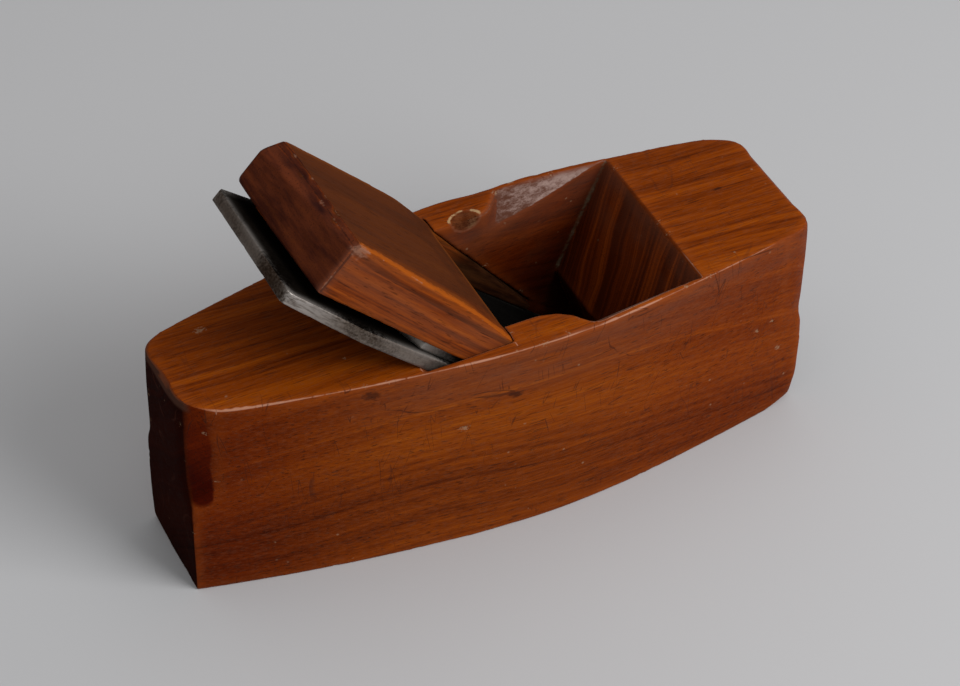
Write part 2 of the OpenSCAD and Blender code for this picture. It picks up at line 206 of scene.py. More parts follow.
# The far heel corner and the near toe corner have slighter chamfers than the other two
stations = np.linspace(HEEL_X, TOE_X, 60)
low = z < 0.02
outline = [np.abs(y[low & (np.abs(x - station) < 0.002)]).max() for station in stations]
outwards = FAR_HEEL_OUT * grows(-x, 0.088, 0.004) * grows(y, 0.006, 0.003)
toe_chamfer = -y - outline[-1] + 0.0062
outwards += NEAR_TOE_OUT * grows(x, 0.089, 0.004) * grows(toe_chamfer, 0.0, 0.003) * grows(z, 0.034, 0.008)
pushed = x + DIAGONAL * outwards * np.sign(x)
shaped[:, 0] = np.clip(pushed, np.minimum(x, HEEL_X), np.maximum(x, TOE_X))
room = np.maximum(np.abs(y), np.interp(shaped[:, 0], stations, outline) - 0.0003)
pushed = np.sign(y) * np.minimum(np.abs(y) + DIAGONAL * outwards, room)
shaped[:, 1] = np.where(outwards > 0, pushed, y)
shaped = evened(shaped, ends, 8, outwards / FAR_HEEL_OUT * 0.6)

# Rubbed down in turn: the heel's far foot, the upright corners, the toe's near foot, and the
# shoulders where the eyes meet the top
heel_foot = near(raw, (HEEL_X, 0.0169, 0.0), (0.006, 0.007, 0.007))
toe_foot = near(raw, (TOE_X, -0.022, 0.0), (0.006, 0.008, 0.006))
shoulder = near(raw, (0.0185, 0.0, 0.069), (0.0080, 1.0, 0.011)) * (np.abs(y) > 0.0225)
walls = ends[wall[ends].all(1)]
shaped = evened(shaped, ends, 30, np.clip(1.3 * heel_foot, 0, 1))
shaped[:, :2] = evened(shaped[:, :2], walls, 100, worn_corner * wall)
shaped[:, :2] = evened(shaped[:, :2], ends, 60, worn_corner * ~wall)
shaped = evened(shaped, ends, 40, np.clip(1.4 * toe_foot, 0, 1))
shaped = evened(shaped, ends, 16, np.clip(1.5 * shoulder, 0, 1))
points = evened(shaped + inwards, ends, 1, 0.5)

# The curves where the heel's chamfers run out above the sole
run_out = near(raw, (-0.096, 0, 0.040), (0.006, 1.0, 0.010)) * (np.abs(y) > 0.012)
points = evened(points, ends, 12, np.clip(run_out, 0, 1))
reshape(stock.data, points)
normals = listed(stock.data.vertices, "normal", 3)

# What lies inside the mortise and throat, away from the outer sides
widths = [np.abs(y[np.abs(x - station) < 0.002]).max() for station in stations]
hollow = (np.abs(y) < np.interp(x, stations, widths) - 0.0008) & (z < STOCK_TOP - 0.0008) & (z > 0.0006)
hollow &= (x > -0.050) & (x < 0.068)

# Dents and knocks: place, reach along each axis, depth
DENTS = [
    ((-0.0207, -0.0326, 0.0476), (0.0015, 0.01, 0.0010), 0.0003),
    ((-0.0957, -0.0165, 0.0637), (0.0005, 0.01, 0.0008), 0.0002),
    ((-0.0935, -0.0183, 0.0444), (0.0008, 0.01, 0.0004), 0.0002),
    ((0.0826, -0.0273, 0.0394), (0.0008, 0.01, 0.0010), 0.0002),
    ((0.0885, -0.0263, 0.0403), (0.0009, 0.01, 0.0008), 0.0002),
    ((0.0920, -0.0257, 0.0268), (0.0012, 0.01, 0.0009), 0.00025),
    ((0.0123, -0.0347, STOCK_TOP), (0.0008, 0.002, 0.0008), 0.0005),
    ((0.0530, -0.0318, STOCK_TOP), (0.0010, 0.002, 0.0008), 0.0006),
    ((-0.0837, 0.0141, STOCK_TOP), (0.0018, 0.0011, 0.01), 0.00015),
    ((-0.0508, -0.0148, STOCK_TOP), (0.0006, 0.0006, 0.01), 0.0002),
]
pale = np.zeros(len(points))
for centre, radii, depth in DENTS:
    dent = near(points, centre, radii)
    points -= normals * (dent * depth)[:, None]
    pale = np.maximum(pale, dent)

# The gouge slip on the far abutment: an oval hollow across its rounded top arris
GOUGE_PLACE, GOUGE_REACH, GOUGE_DEPTH = (0.0078, 0.0245, 0.0728), (0.0052, 0.0036, 0.0040), 0.0018
gouge = near(points, GOUGE_PLACE, GOUGE_REACH)
points -= normals * (np.clip(gouge, 0, 0.8) * GOUGE_DEPTH)[:, None]
gouge_rim = np.clip(1 - np.abs(gouge - 0.34) / 0.14, 0, 1)

# Small nicks along the sharp arrises
NICKS, NICK_REACH, NICK_DEPTH = 55, (0.0006, 0.0013), (0.00005, 0.00022)
chance = np.random.default_rng(7)
arris_points = points[lost > 0.6]
for centre in arris_points[chance.integers(0, len(arris_points), NICKS)]:
    reach = chance.uniform(*NICK_REACH)
    nick = near(points, centre, (reach * 1.6, reach, reach))
    points -= normals * (nick * chance.uniform(*NICK_DEPTH))[:, None]
    pale = np.maximum(pale, 0.5 * nick)

reshape(stock.data, points)
arris = np.clip(lost, 0, 1)
note(stock.data, "arris", arris)
note(stock.data, "rubbed", spread(arris, ends, 14) * 3)
note(stock.data, "corner", spread(np.clip(-lost, 0, 1), ends, 4) * 2.6)
note(stock.data, "pale", pale)
note(stock.data, "gouge", gouge)
note(stock.data, "gouge_rim", gouge_rim)
note(stock.data, "hollow", spread(hollow.astype(float), ends, 2))
thinned(stock, spread(np.abs(lost), ends, 8) + pale + gouge + worn_corner + heel_foot, 0.52)
stock.data.shade_smooth()


class Tone:
    """One socket of a finish, reckoned with like a number or a colour."""

    def __init__(self, socket):
        self.socket = socket

    def node(self, kind, settings=(), feeds=(), out=0):
        """Adds a node: its settings first, then what its sockets hold or are fed by."""
        tree = self.socket.id_data
        made = tree.nodes.new(kind)
        for word, value in dict(settings).items():
            if word == "stops":
                stops = made.color_ramp.elements
                while len(stops) > 1:
                    stops.remove(stops[-1])
                stops[0].position, stops[0].color = value[0][0], (*value[0][1], 1)
                for place, colour in value[1:]:
                    stops.new(place).color = (*colour, 1)
            else:
                setattr(made, word, value)
        for key, value in dict(feeds).items():
            socket = made.inputs[key]
            if isinstance(value, Tone):
                tree.links.new(value.socket, socket)
            elif socket.type == "RGBA":
                socket.default_value = (*value, 1)
            else:
                socket.default_value = value
        return Tone(made.outputs[out])

    def reckon(self, operation, *terms):
        return self.node("ShaderNodeMath", {"operation": operation}, enumerate(terms))

    def __add__(self, other):
        return self.reckon("ADD", self, other)

    def __mul__(self, other):
        return self.reckon("MULTIPLY", self, other)

    def __sub__(self, other):
        return self.reckon("SUBTRACT", self, other)

    def __rsub__(self, other):
        return self.reckon("SUBTRACT", other, self)

    def __abs__(self):
        return self.reckon("ABSOLUTE", self)

    __radd__ = __add__
    __rmul__ = __mul__


def span(value, low, high, start=0.0, end=1.0):
    """Goes smoothly from start to end while the value goes from low to high."""
    return value.node("ShaderNodeMapRange", {"interpolation_type": "SMOOTHSTEP"},
                      {"Value": value, "From Min": low, "From Max": high, "To Min": start, "To Max": end})


def most(first, *others):
    """The strongest of some masks."""
    for other in others:
        first = first.reckon("MAXIMUM", first, other)
    return first


def blend(first, second, share, mode="MIX"):
    """One colour laid over another."""
    return share.node("ShaderNodeMix", {"data_type": "RGBA", "blend_type": mode},
                      {0: share, 6: first, 7: second}, 2)


def ramp(shade, stops):
    """A colour for each shade of the wood, from its dark layers to its pale ones."""
    return shade.node("ShaderNodeValToRGB", {"stops": stops}, {0: shade})


def scaled(place, factors):
    """A place stretched along each axis."""
    return place.node("ShaderNodeVectorMath", {"operation": "MULTIPLY"}, {0: place, 1: factors})


def tilted(way, angle):
    """A place or a direction, turned about the plane's width."""
    return way.node("ShaderNodeVectorRotate", {"rotation_type": "Y_AXIS"}, {"Vector": way, "Angle": angle})


def part_of(place, axis):
    """One of the three measures of a place or a direction."""
    return place.node("ShaderNodeSeparateXYZ", (), {0: place}, axis)


def facing_of(place, kind="True Normal"):
    """The way each face looks, or with the kind Normal the way of the smooth surface."""
    return place.node("ShaderNodeNewGeometry", (), (), kind)


def noted(place, name):
    """The number that the mesh keeps for each point under a name."""
    return place.node("ShaderNodeAttribute", {"attribute_name": name, "attribute_type": "GEOMETRY"},
                      (), "Fac")


def cloud(place, factors, detail=2.0, rough=0.5, low=0.28, high=0.72):
    """Noise with its own scale along each axis, spread to fill 0 to 1."""
    made = place.node("ShaderNodeTexNoise", {"noise_dimensions": "3D"},
                      {"Vector": scaled(place, factors), "Scale": 1.0, "Detail": detail, "Roughness": rough})
    return span(made, low, high)


def layers(depth, per_metre, detail=2.0):
    """Noise in one direction only, as in layers of growth."""
    made = depth.node("ShaderNodeTexNoise", {"noise_dimensions": "1D"},
                      {"W": depth * per_metre, "Scale": 1.0, "Detail": detail, "Roughness": 0.6})
    return span(made, 0.3, 0.7)


def started(name):
    """A new finish: the material, its surface and the place of each point on the piece."""
    made = bpy.data.materials.new(name)
    made.use_nodes = True
    tree = made.node_tree
    return made, tree.nodes["Principled BSDF"], Tone(tree.nodes.new("ShaderNodeTexCoord").outputs["Object"])


def coat(surface, colour, rough, height, depth, level):
    """Lays colour, roughness and relief on a surface. The level is how strongly it mirrors the room."""
    tree = surface.id_data
    relief = height.node("ShaderNodeBump", (), {"Height": height, "Distance": depth, "Strength": 1.0})
    tree.links.new(colour.socket, surface.inputs["Base Color"])
    tree.links.new(rough.socket, surface.inputs["Roughness"])
    tree.links.new(relief.socket, surface.inputs["Normal"])
    surface.inputs["Specular IOR Level"].default_value = level


BROAD, FINE, THIN = 48, 270, 1150  # growth layers to a metre of depth


def figure_of(along, lay, wander):
    """The wood's figure with its fibres along X: growth layers, fibres and pores."""
    drift = (cloud(along, (4, 15, 15)) - 0.5) * wander + (cloud(along, (9, 70, 70)) - 0.5) * (wander * 0.15)
    depth = along.node("ShaderNodeVectorMath", {"operation": "DOT_PRODUCT"}, {0: along, 1: lay}, "Value")
    depth = depth + drift
    broad = layers(depth, BROAD)
    fine = layers(depth + 3.1, FINE, 3)
    thin = layers(depth + 7.7, THIN, 2)
    fibre = cloud(along, (6, 620, 620), 3, 0.6)
    pores = cloud(along, (130, 2300, 2300), 1, 0.5, 0.60, 0.72)
    grain = cloud(along, (70, 2000, 2000), 2, 0.6)
    shade = broad * 0.30 + fine * 0.24 + thin * 0.12 + fibre * 0.16 + grain * 0.18
    return shade, fibre, pores


# How deep the grain stands and how weakly old oil gleams, on the stock and the wedge alike
WOOD_RELIEF, WOOD_GLEAM = 0.00010, 0.022

LONG_GRAIN = [
    (0.10, (0.075, 0.012, 0.0018)),
    (0.30, (0.145, 0.025, 0.0022)),
    (0.52, (0.215, 0.040, 0.0026)),
    (0.74, (0.285, 0.060, 0.0034)),
    (0.92, (0.370, 0.088, 0.0050)),
]
BREAST_GRAIN = [
    (0.25, (0.100, 0.018, 0.0034)),
    (0.60, (0.205, 0.037, 0.0042)),
    (0.95, (0.400, 0.082, 0.0062)),
]

# Casts that deepen or lift the wood under them. The top's cast is partly the wood's own tone and partly
# painted light; the end cast is dark end grain with painted shade; the deep and throat casts are painted
# shade
TOP_TONE_AND_LIGHT, HEEL_CAST, TOE_CAST = (1.09, 1.03, 0.48), (0.60, 0.40, 0.27), (0.82, 0.68, 0.60)
END_GRAIN_AND_SHADE, CHAMFER_CAST, CHAMFER_FOOT_CAST = (0.13, 0.10, 0.30), (0.82, 0.58, 0.50), (0.44, 0.30, 0.42)
DEEP_THROAT_SHADE, THROAT_WALL_SHADE = (0.26, 0.18, 0.22), (0.80, 0.68, 0.80)

# Colours that lie over the wood
SMUDGE, BREAST_LIP_SHEEN, PORE = (0.050, 0.016, 0.007), (0.13, 0.050, 0.030), (0.024, 0.006, 0.003)
MAUVE_SHEEN, BROW_SHEEN, PALE_HAZE = (0.150, 0.055, 0.034), (0.082, 0.035, 0.023), (0.190, 0.082, 0.045)
HAND_POLISH, WORN_EDGE_HIGHLIGHT = (0.40, 0.085, 0.012), (0.58, 0.29, 0.19)
EYE_SHADE, EYE_SHEEN = (0.105, 0.042, 0.026), (0.370, 0.250, 0.215)
KNOT, SCRATCH, SPECK = (0.020, 0.007, 0.005), (0.050, 0.014, 0.008), (0.36, 0.23, 0.14)
DUST = (0.120, 0.092, 0.056)
SCAR_DARK, SCAR_BROWN, RAW_SLIP = (0.040, 0.010, 0.004), (0.120, 0.040, 0.015), (0.38, 0.25, 0.13)
RIM_HIGHLIGHT, RIM_CREAM = (0.26, 0.10, 0.055), (0.52, 0.35, 0.18)

oiled_wood, surface, place = started("oiled_wood")
forward, across, upward = part_of(place, "X"), part_of(place, "Y"), part_of(place, "Z")
facing, rounded = facing_of(place), facing_of(place, "Normal")
top = span(part_of(facing, "Z"), 0.75, 0.98)
end = span(abs(part_of(rounded, "X")), 0.76, 0.92) * span(abs(forward), 0.0965, 0.0990)
hollow = noted(place, "hollow")
breast = hollow * span(part_of(facing, "X"), -0.86, -0.91)

# The figure, on the long grain and on the breast, which shows the layers edge on
shade, fibre, pores = figure_of(place, (0.047, 0.71, 0.71), 0.007)
shade = 0.52 + (shade - 0.52) * span(top, 0, 1, 0.95, 1.15)
ribbon = across - upward * 0.20 + (cloud(place, (6, 40, 22)) - 0.5) * 0.004
stripes = layers(ribbon, 150, 3) * 0.7 + layers(ribbon + 2.3, 700) * 0.3
colour = blend(ramp(shade, LONG_GRAIN), ramp(stripes, BREAST_GRAIN), breast)

# The top is lifted and turned more orange, partly painted light. The sides are darker towards the heel and
# the toe, the ends are dark end grain with painted shade, and the near heel chamfer is darker, most towards
# the curve of its foot
# Painted light: the top is lifted and turned more orange, on top of its own tone
colour = blend(colour, TOP_TONE_AND_LIGHT, top, "MULTIPLY")
colour = blend(colour, HEEL_CAST, span(forward, -0.030, -0.095) * (1 - top), "MULTIPLY")
colour = blend(colour, TOE_CAST, span(forward, 0.000, 0.080) * (1 - top), "MULTIPLY")
# Painted shade on the ends, together with their dark end grain
colour = blend(colour, END_GRAIN_AND_SHADE, end * (1 - hollow), "MULTIPLY")
wavering = (cloud(place, (30, 30, 90), 3) - 0.5) * 0.0012
from_middle = forward + 0.0985
foot_curve = from_middle * from_middle * 150
chamfer = span(forward + wavering, -0.0946, -0.0954) * (1 - top) * span(across, 0.0, -0.004)
chamfer = chamfer * (1 - end) * span(upward + wavering - foot_curve, 0.0340, 0.0360)
colour = blend(colour, CHAMFER_CAST, chamfer * span(upward, 0.072, 0.060, 0.5, 1.0), "MULTIPLY")
colour = blend(colour, CHAMFER_FOOT_CAST, chamfer * span(upward, 0.058, 0.042), "MULTIPLY")

# Painted shade in the throat: darker downwards and over all its walls but the breast, with smudges of old oil
# on its walls
inside = hollow * span(upward, STOCK_TOP, 0.030) * (1 - breast * 0.68)
colour = blend(colour, DEEP_THROAT_SHADE, inside, "MULTIPLY")
colour = blend(colour, THROAT_WALL_SHADE, hollow * (1 - breast), "MULTIPLY")
smudge = cloud(place, (45, 60, 60), 4, 0.70, 0.36, 0.66)
colour = blend(colour, SMUDGE, smudge * hollow * (1 - breast) * 0.40)
# Painted sheen along the breast's upper lip
colour = blend(colour, BREAST_LIP_SHEEN, breast * span(upward, 0.064, STOCK_TOP) * 0.55)
colour = blend(colour, PORE, pores * 0.60)

# Painted mauve sheen on the upper sides and the heel's brow, a fine pale haze, and hand-worn patches
ragged = cloud(place, (500, 900, 900), 3) * 0.5 - 0.25
upper_sheen = cloud(place, (14, 30, 60), 3, 0.6) * span(upward, 0.050, 0.070) * span(forward, -0.070, -0.020)
colour = blend(colour, MAUVE_SHEEN, upper_sheen * (1 - top) * 0.65)
# Painted sheen on the heel's brow, where its end rounds over into the top
brow_sheen = span(abs(part_of(rounded, "X")), 0.35, 0.70) * span(forward, -0.0980, -0.0998)
colour = blend(colour, BROW_SHEEN, brow_sheen * span(upward, 0.0695, 0.0715) * 0.85)
haze = cloud(place, (420, 1300, 1300), 3, 0.75, 0.45, 0.72)
colour = blend(colour, PALE_HAZE, haze * (1 - hollow) * (1 - end) * (1 - chamfer) * 0.20)
colour = blend(colour, HAND_POLISH, noted(place, "rubbed") * (1 - end) * (1 - chamfer) * 0.25)

# The top's arrises are worn pale and carry a painted highlight, most along the near side
edge = noted(place, "arris") * span(upward, 0.0708, 0.0728, 0.15, 1.0)
edge = edge * span(across + cloud(place, (30, 30, 30)) * 0.010, 0.000, -0.018, 0.30, 1.0)
edge = edge * span(forward, 0.092, 0.080, 0.45, 1.0)
colour = blend(colour, WORN_EDGE_HIGHLIGHT, span(edge + cloud(place, (60, 90, 90), 3) * 0.45, 0.72, 1.25) * 0.75)

# The eyes keep the marks of the knife, under painted shade and a painted mauve sheen that grows towards the
# toe
eye = hollow * span(abs(part_of(rounded, "Y")), 0.42, 0.52) * span(part_of(rounded, "Z"), 0.44, 0.54)
cuts = cloud(place, (260, 520, 520), 4, 0.75)
lit = cuts * 0.55 + span(forward, 0.014, 0.052) * 0.45
colour = blend(colour, EYE_SHADE, eye * 0.85)
colour = blend(colour, EYE_SHEEN, eye * span(lit, 0.22, 0.85, 0.0, 0.95))


def knot(centre, radii):
    """A ragged dark patch about a place."""
    away = place.node("ShaderNodeVectorMath", {"operation": "SUBTRACT"}, {0: place, 1: centre})
    shrunk = scaled(away, tuple(1 / r for r in radii))
    reach = shrunk.node("ShaderNodeVectorMath", {"operation": "LENGTH"}, {0: shrunk}, "Value")
    return span(reach + ragged, 1.0, 0.35)


def strokes(leaning, factors, gate):
    """Short fine lines, as a nail or a tool's corner leaves them."""
    turned = tilted(place, leaning)
    line = abs(cloud(turned, factors, 1, 0.5, 0.0, 1.0) - 0.5)
    return span(line, 0.015, 0.004) * cloud(turned, gate, 1, 0.5, 0.54, 0.64)


# Small knots on the near side and the top, drawn out along the grain
knots = most(knot((-0.0487, -0.0284, 0.0693), (0.0034, 0.01, 0.0024)) * 0.6,
             knot((-0.0049, -0.0342, 0.0563), (0.0030, 0.01, 0.0016)) * 0.7,
             knot((0.0831, 0.0028, STOCK_TOP), (0.0022, 0.0009, 0.01)) * 0.7)
colour = blend(colour, KNOT, knots)

# Fine scratches, pale specks, and dents that show lighter wood
scratch = most(strokes(0.10, (260, 40, 26), (110, 60, 70)),
               strokes(-0.35, (240, 40, 30), (130, 60, 80)),
               strokes(1.40, (210, 40, 24), (120, 60, 60)))
scratch = scratch * (1 - top * 0.6) * (1 - hollow) * span(upward, 0.020, 0.050, 0.5, 1.0)
colour = blend(colour, SCRATCH, scratch * 0.60)
dots = place.node("ShaderNodeTexVoronoi", {"feature": "F1"}, {"Vector": place, "Scale": 330.0}, "Distance")
specks = span(dots, 0.20, 0.08) * cloud(place, (190, 190, 190), 2, 0.5, 0.62, 0.70)
torn_edge = cloud(place, (1300, 2000, 2000), 3) * 0.9 - 0.45
dents = span(noted(place, "pale") + torn_edge, 0.40, 0.85)
colour = blend(colour, SPECK, most(specks * 0.5, dents * 0.60))

# Dust in the corners of the throat
dust = span(noted(place, "corner"), 0.36, 0.66) * span(cloud(place, (60, 60, 90), 3), 0.1, 0.6, 0.40, 0.85)
dust = dust * span(forward, 0.022, 0.030) * span(upward, 0.030, 0.036)
colour = blend(colour, DUST, dust)

# The gouge slip: gritty brown inside, raw cream wood at its torn rim, and a painted highlight on the rest of
# its rim
scar = span(noted(place, "gouge"), 0.25, 0.55)
grit = cloud(place, (420, 500, 500), 4, 0.75, 0.36, 0.64)
colour = blend(colour, blend(SCAR_DARK, SCAR_BROWN, grit), scar * 0.80)
slip = span(forward, 0.0075, 0.0105) * span(across, 0.0250, 0.0236) * grit
colour = blend(colour, RAW_SLIP, scar * slip * 0.8)
rim = span(noted(place, "gouge_rim") + ragged * 0.6, 0.40, 0.85)
torn = span(across + cloud(place, (400, 400, 400)) * 0.0010, 0.0252, 0.0262)
torn = torn * span(cloud(place, (330, 330, 330), 2), 0.15, 0.45)
colour = blend(colour, blend(RIM_HIGHLIGHT, RIM_CREAM, torn), rim * span(torn, 0, 1, 0.35, 0.80))

rough = span(fibre, 0, 1, 0.36, 0.50) + inside * 0.15 + end * 0.45 + chamfer * 0.25 + dents * 0.2 + dust * 0.5
height = (fibre * 0.35 - pores * 0.4 - scratch * 0.5 - knots * 0.2 + eye * cuts * 0.6
          + cloud(place, (35, 70, 70), 2) * 0.5)
coat(surface, colour, rough, height * (1 - end * 0.8), WOOD_RELIEF, WOOD_GLEAM)
stock.data.materials.append(oiled_wood)

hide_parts("stock")
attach(stock, "stock")


# The cutting iron is a thick tapered bar of steel, slotted for the cap screw and ground to one
# bevel. It lies bevel down on the bed. Its skin is dark with age, and hammer taps have nicked and
# brightened its arrises. Its broad faces and upper end carry painted shade, and the near side of its
# upper end has hammer-bright steel under a painted highlight.

FACE_PITCH = math.radians(43.0254)
EDGE = np.array((0.0521556, 0.0, 0.0003))
UP_FACE = np.array((-math.cos(FACE_PITCH), 0.0, math.sin(FACE_PITCH)))
OUT_FACE = np.array((math.sin(FACE_PITCH), 0.0, math.cos(FACE_PITCH)))
IRON_NET, IRON_RUB = 0.00055, 0.00035
LIP = 0.005  # the length over which the lower end is drawn out
TAPS, TAP_REACH, TAP_DEPTH = 30, (0.0006, 0.0013), (0.00004, 0.00014)


def on_iron(points, start=EDGE):
    """Places measured up the iron's face, across it and out of it."""
    away = points - start
    return np.stack((away @ UP_FACE, away[:, 1], away @ OUT_FACE), 1)


def off_iron(local, start=EDGE):
    """The way back from such measures to places."""
    return start + local[:, :1] * UP_FACE + local[:, 1:2] * (0, 1, 0) + local[:, 2:] * OUT_FACE


def forged(node, name, honed):
    """An iron with rubbed arrises and small nicks, its lower end drawn out to an edge again."""
    made, inwards, lost = skin_of(node, name, IRON_NET, IRON_RUB, FACE_PITCH)
    ends = listed(made.data.edges, "vertices", 2, np.int32)
    points = evened(listed(made.data.vertices, "co", 3) + inwards, ends, 1, 0.4)
    local = on_iron(points)
    lowest = local[:, 0].min()
    local[:, 0] -= (lowest - honed) * np.clip(1 - (local[:, 0] - lowest) / LIP, 0, 1)
    points = off_iron(local)
    reshape(made.data, points)
    normals = listed(made.data.vertices, "normal", 3)
    lost = lost * (local[:, 0] > 0.008)
    chance = np.random.default_rng(len(name))
    edge_points = points[lost > 0.6]
    for centre in edge_points[chance.integers(0, len(edge_points), TAPS)]:
        reach = chance.uniform(*TAP_REACH)
        points -= normals * (near(points, centre, (reach,) * 3) * chance.uniform(*TAP_DEPTH))[:, None]
    reshape(made.data, points)
    note(made.data, "arris", lost)
    note(made.data, "rubbed", spread(np.clip(lost, 0, 1), ends, 10) * 2.6)
    thinned(made, spread(np.abs(lost), ends, 5), 0.55)
    made.data.shade_smooth()
    return made


RUST, PIT = (0.075, 0.040, 0.022), (0.014, 0.010, 0.008)
CROWN_SHADE, HAMMERED_HIGHLIGHT = (0.52, 0.45, 0.40), (0.52, 0.48, 0.45)


def steel(name, dark, bright, face_shade, worn_colour):
    """Old steel: a grey-brown skin of fine grain, bright on its arrises, with painted shade on the broad
    faces and the upper end, and a painted highlight on the near side's upper end.
    """
    made, surface, place = started(name)
    along, facing = tilted(place, -FACE_PITCH), tilted(facing_of(place), -FACE_PITCH)
    mottle = cloud(place, (45, 45, 45), 4, 0.6)
    skin = cloud(place, (1300, 1300, 1300), 2, 0.6)
    lined = cloud(along, (80, 1700, 1700), 2)
    colour = blend(dark, bright, mottle * 0.50 + skin * 0.35 + lined * 0.30 - 0.08)
    up_iron = part_of(along, "X")
    rust = cloud(place, (60, 60, 60), 4, 0.7, 0.45, 0.70) * span(up_iron, -0.090, -0.125, 0.25, 0.8)
    colour = blend(colour, RUST, rust * 0.6)
    # Painted shade: the broad faces are darkened, most on the two irons
    flat = span(abs(part_of(facing, "Z")), 0.72, 0.88)
    colour = blend(colour, (face_shade, face_shade, face_shade), flat, "MULTIPLY")
    # Painted shade on the upper end face
    crown = span(part_of(facing, "X"), -0.60, -0.90)
    colour = blend(colour, CROWN_SHADE, crown, "MULTIPLY")
    pits = cloud(place, (900, 900, 900), 2, 0.5, 0.68, 0.75)
    colour = blend(colour, PIT, pits * 0.35)
    worn = noted(place, "rubbed") * span(mottle + skin * 0.4, 0.2, 1.0)
    colour = blend(colour, worn_colour, worn * 0.55)

    # The near side's upper end, where the hammer has struck and fingers have rubbed: hammer-bright steel with
    # a painted highlight
    knocked = span(up_iron, -0.105, -0.133) * span(part_of(along, "Y"), -0.010, -0.023)
    knocked = knocked * (1 - flat) * (1 - crown) * span(mottle * 0.5 + lined * 0.7, 0.1, 1.0)
    colour = blend(colour, HAMMERED_HIGHLIGHT, knocked * 0.80)

    rough = span(skin, 0, 1, 0.40, 0.56) - worn * 0.14 + flat * 0.44
    made.node_tree.links.new(((0.55 + worn * 0.4) * (1 - flat)).socket, surface.inputs["Metallic"])
    coat(surface, colour, rough, skin * 0.3 - pits * 0.5 + lined * 0.3, 0.00003, 0.0)
    return made


cutting_iron = forged("cutting_iron", "cutting_iron_forged", honed=0.00008)
cutting_iron.data.materials.append(steel("dark_steel", dark=(0.030, 0.021, 0.015),
                                         bright=(0.205, 0.162, 0.132), face_shade=0.05,
                                         worn_colour=(0.42, 0.38, 0.35)))
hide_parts("cutting_iron")
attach(cutting_iron, "cutting_iron")


# The cap iron is a thinner plate, bent near its lip so that only the lip bears on the cutting
# iron and breaks the shaving. It is brighter than the iron under it.

cap_iron = forged("cap_iron", "cap_iron_bent", honed=0.0016)
cap_iron.data.materials.append(steel("cap_steel", dark=(0.050, 0.044, 0.038), bright=(0.19, 0.17, 0.15),
                                     face_shade=0.04, worn_colour=(0.40, 0.37, 0.34)))
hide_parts("cap_iron")
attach(cap_iron, "cap_iron")


# The nut is a turned brass bush, riveted flush through the cap iron. Its collar rides in the
# cutting iron's slot.

BRASS, TARNISH = (0.36, 0.20, 0.060), (0.11, 0.058, 0.022)

brass, surface, place = started("aged_brass")
tarnish = cloud(place, (260, 260, 260), 3, 0.6)
turning = cloud(place, (120, 3200, 120), 1)
surface.inputs["Metallic"].default_value = 1.0
coat(surface, blend(BRASS, TARNISH, tarnish), span(tarnish, 0, 1, 0.28, 0.50),
     tarnish * 0.4 + turning * 0.6, 0.00004, 0.5)
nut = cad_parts["cap_nut"]
nut.data.materials.clear()
nut.data.materials.append(brass)


# The cap screw clamps the two irons together through the slot. Its broad low head is turned from
# steel and slotted for a wide driver.

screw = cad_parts["cap_screw"]
screw.data.materials.clear()
screw.data.materials.append(steel("screw_steel", dark=(0.035, 0.030, 0.026), bright=(0.14, 0.125, 0.11),
                                  face_shade=0.8, worn_colour=(0.30, 0.27, 0.24)))


# The wedge is sawn from the same wood, forked below so that the shavings can rise between its
# tines, and driven under the abutments by hammer taps that have bruised its upper end.

APEX = np.array((0.0403443, 0.0, 0.015756))
WEDGE_NET, WEDGE_RUB = 0.00052, 0.0008
WEDGE_WIDTH, WEDGE_END = 0.049, 0.141629
OUT_OF_SQUARE = 0.0043  # how much longer the far side is than the near one
NEAR_TURN = 0.0024
WEDGE_HIGHEST = 0.1241
BLOWS, BLOW_REACH, BLOW_DEPTH = 14, (0.0004, 0.0013), (0.0001, 0.0004)


def rounded_off(over, over_other, radius):
    """The share of two overshoots past a corner that goes, so that the corner becomes a round."""
    out = np.maximum(np.hypot(over, over_other), 1e-9)
    return np.where((over > 0) & (over_other > 0) & (out > radius), 1 - radius / out, 0)


wedge, inwards, lost = skin_of("wedge", "wedge_forked", WEDGE_NET, WEDGE_RUB, FACE_PITCH)
ends = listed(wedge.data.edges, "vertices", 2, np.int32)
local = on_iron(listed(wedge.data.vertices, "co", 3), APEX)
reach, side, rise = local.T
back = rise.max()

# The end was sawn out of square and is longer on its far side, where its upper corner is rubbed off
farness = np.clip(side / WEDGE_WIDTH + 0.5, 0, 1)
far = farness ** 4
reach += OUT_OF_SQUARE * farness * grows(reach, WEDGE_END - 0.03, 0.03) ** 2
end_at = WEDGE_END + OUT_OF_SQUARE * farness
turn = 0.0015 + 0.0036 * far
over_reach = np.clip(reach - (end_at - turn), 0, None)
over_rise = np.clip(rise - (back - turn), 0, None)
pull = rounded_off(over_reach, over_rise, turn)
reach -= over_reach * pull
rise -= over_rise * pull

# Its near corner is rounder than its other arrises
near_edge = side[reach > WEDGE_END - 0.003].min()
over_reach = np.clip(reach - (end_at - NEAR_TURN), 0, None)
over_side = np.clip(near_edge + NEAR_TURN - side, 0, None)
pull = rounded_off(over_reach, over_side, NEAR_TURN)
reach -= over_reach * pull
side += over_side * pull

# The far lower corner is rounded too, and the far upper one no higher than the drawn wedge
foot = 0.0030 * far
over_foot = np.clip(foot - rise, 0, None) * (reach > end_at - foot)
reach -= foot - np.sqrt(np.clip(foot ** 2 - over_foot ** 2, 0, None))
high = np.clip(APEX[2] + reach * UP_FACE[2] + rise * OUT_FACE[2] - WEDGE_HIGHEST, 0, None)
reach -= high * 0.85 / UP_FACE[2]
points = evened(off_iron(local, APEX) + inwards, ends, 1, 0.5)
reshape(wedge.data, points)
normals = listed(wedge.data.vertices, "normal", 3)

